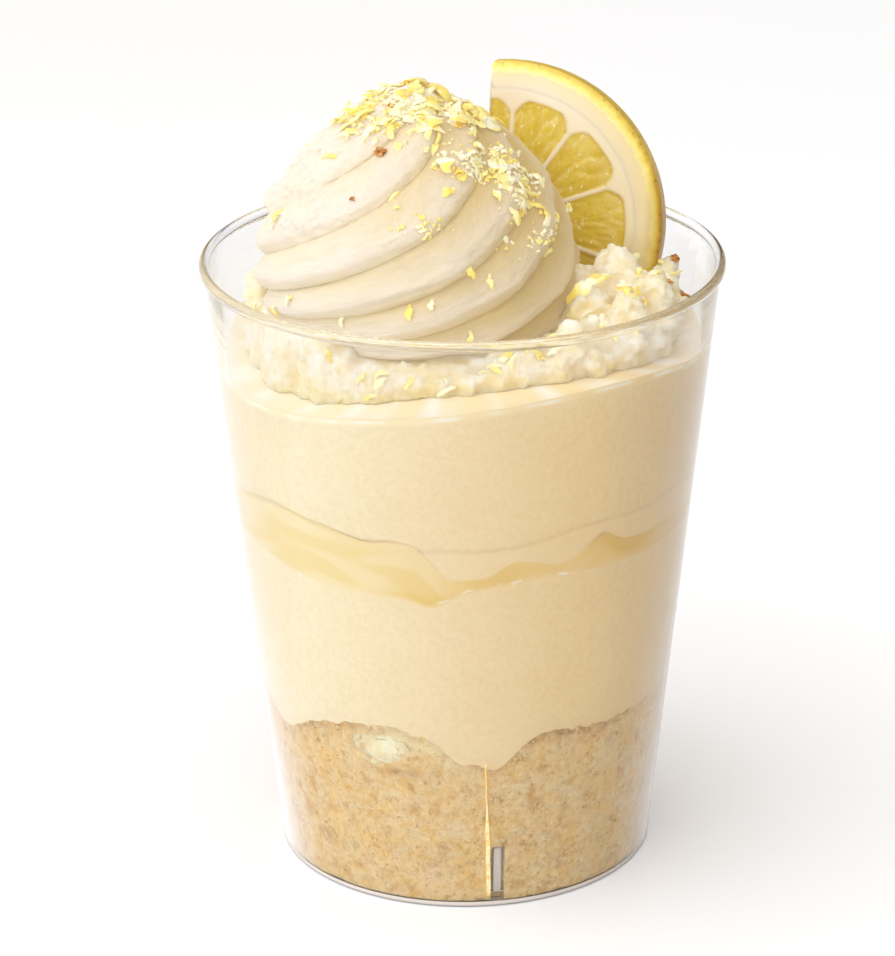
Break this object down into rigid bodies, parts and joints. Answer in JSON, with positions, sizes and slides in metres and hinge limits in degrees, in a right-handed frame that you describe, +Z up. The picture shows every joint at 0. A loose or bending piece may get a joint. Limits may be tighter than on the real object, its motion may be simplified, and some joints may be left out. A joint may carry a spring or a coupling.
{
  "type": "lemon verrine",
  "caption": "Lemon verrine in a clear tapered cup: biscuit crumb base, lemon mousse with a curd layer, rough whipped cream, a piped swirl with zest and a half slice of lemon.",
  "frame": {"origin": "centre of the cup's foot, on the surface that it stands on", "axes": "+Z up through the cup; the side that faces a guest, with the swirl left of the lemon slice, looks along -Y"},
  "size_m": [0.078, 0.078, 0.1214],
  "materials": {
    "clear_plastic": "clear, smooth, moulded",
    "biscuit_crumb": "sandy pressed crumbs",
    "lemon_mousse": "smooth set mousse with fine bubbles",
    "lemon_curd": "glossy and soft",
    "whipped_cream": "satin whipped cream",
    "lemon_peel": "waxy peel, wet pulp"
  },
  "bodies": {
    "root": {"cup": "clear_plastic", "crumb_base": "biscuit_crumb", "mousse_lower": "lemon_mousse", "lemon_curd": "lemon_curd", "mousse_upper": "lemon_mousse", "cream_pocket": "whipped_cream", "rough_cream": "whipped_cream", "cream_swirl": "whipped_cream", "lemon_slice": "lemon_peel"}
  },
  "joints": []
}
